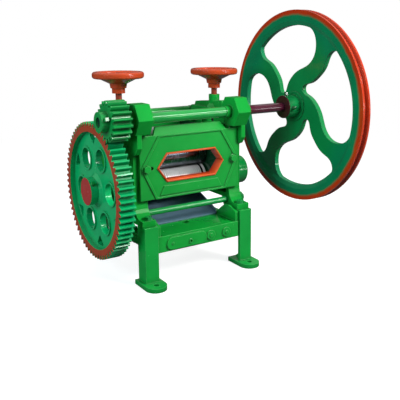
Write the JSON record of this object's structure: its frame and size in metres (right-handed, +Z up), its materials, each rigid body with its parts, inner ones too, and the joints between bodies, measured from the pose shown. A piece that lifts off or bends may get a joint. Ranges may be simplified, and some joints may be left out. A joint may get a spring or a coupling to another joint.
{
  "type": "manual sugarcane juicer",
  "caption": "Green cast-iron hand-driven sugar cane mill with geared steel rollers, hand wheels on top, a red feed mouth, a juice deck and a large red-rimmed flywheel.",
  "frame": {"origin": "on the floor, at the middle of the four foot bolts", "axes": "+X towards the flywheel side, -Y towards the feed mouth, +Z up"},
  "size_m": [0.621, 0.574, 0.6771],
  "materials": {
    "green_paint": "gloss",
    "wheel_green": "satin",
    "red_paint": "gloss",
    "roller_steel": "brushed",
    "oiled_steel": "satin",
    "zinc_steel": "polished",
    "bronze": "satin",
    "dark_iron": "rough",
    "blue_sheet": "satin"
  },
  "bodies": {
    "frame": {"cap_screws": "zinc_steel", "deck_bolts": "zinc_steel", "discharge_chute": "roller_steel", "feed_mouth": "red_paint", "front_plate": "green_paint", "front_plate_bolts": "zinc_steel", "front_tie_rod": "green_paint", "juice_deck": "green_paint", "juice_outlet": "zinc_steel", "juice_sheet": "blue_sheet", "left_cap": "green_paint", "left_drive_bush": "bronze", "left_guide_plate": "dark_iron", "left_lower_bush": "bronze", "left_side_frame": "green_paint", "left_stand": "green_paint", "rail_bolts": "zinc_steel", "rear_plate": "green_paint", "rear_plate_bolts": "zinc_steel", "rear_tie_rod": "green_paint", "rear_top_rail": "green_paint", "right_cap": "green_paint", "right_drive_bush": "bronze", "right_guide_plate": "dark_iron", "right_lower_bush": "bronze", "right_side_frame": "green_paint", "right_stand": "green_paint", "stand_bolts": "zinc_steel", "tie_rod_nuts": "zinc_steel", "upper_scraper": "roller_steel"},
    "drive": {"drive_shaft": "oiled_steel", "shaft_collars": "zinc_steel", "drive_pinion": "wheel_green", "pinion_screw": "zinc_steel", "flywheel": "wheel_green", "flywheel_screws": "zinc_steel", "drive_keys": "zinc_steel"},
    "lower_roll": {"lower_roller": "roller_steel", "main_gear": "wheel_green", "main_gear_screw": "zinc_steel", "gear_spacer": "zinc_steel", "lower_crown_gear": "wheel_green", "lower_roller_keys": "zinc_steel", "lower_end_keeper": "zinc_steel"},
    "upper_roll": {"upper_roller": "roller_steel", "upper_crown_gear": "wheel_green", "upper_roller_key": "zinc_steel", "upper_end_keeper": "zinc_steel"},
    "blocks": {"left_bearing_block": "dark_iron", "right_bearing_block": "dark_iron", "left_upper_bush": "bronze", "right_upper_bush": "bronze"},
    "left_screw": {"left_pressure_screw": "oiled_steel", "left_hand_wheel": "red_paint", "left_wheel_nut": "zinc_steel"},
    "right_screw": {"right_pressure_screw": "oiled_steel", "right_hand_wheel": "red_paint", "right_wheel_nut": "zinc_steel"}
  },
  "joints": [
    {"name": "drive_spin", "type": "hinge", "parent": "frame", "child": "drive", "pos_m": [0, -0.106, 0.40905], "axis": [1, 0, 0], "continuous": true},
    {"name": "lower_roller_spin", "type": "hinge", "parent": "frame", "child": "lower_roll", "pos_m": [0, 0, 0.222], "axis": [1, 0, 0], "continuous": true},
    {"name": "upper_roller_spin", "type": "hinge", "parent": "blocks", "child": "upper_roll", "pos_m": [0, 0, 0.292], "axis": [1, 0, 0], "continuous": true},
    {"name": "left_screw_turn", "type": "hinge", "parent": "blocks", "child": "left_screw", "pos_m": [-0.144, 0, 0.45], "axis": [0, 0, 1], "range_deg": [0, 540]},
    {"name": "right_screw_turn", "type": "hinge", "parent": "blocks", "child": "right_screw", "pos_m": [0.144, 0, 0.45], "axis": [0, 0, 1], "range_deg": [0, 540]},
    {"name": "blocks_slide", "type": "slide", "parent": "frame", "child": "blocks", "axis": [0, 0, 1], "range_m": [0, 0.006]}
  ],
  "couplings": [
    {"joint": "lower_roller_spin", "follows": "drive_spin", "ratio": -0.26471},
    {"joint": "upper_roller_spin", "follows": "drive_spin", "ratio": 0.26471},
    {"joint": "right_screw_turn", "follows": "left_screw_turn", "ratio": 1},
    {"joint": "blocks_slide", "follows": "left_screw_turn", "m_per_rad": 0.00063661}
  ]
}
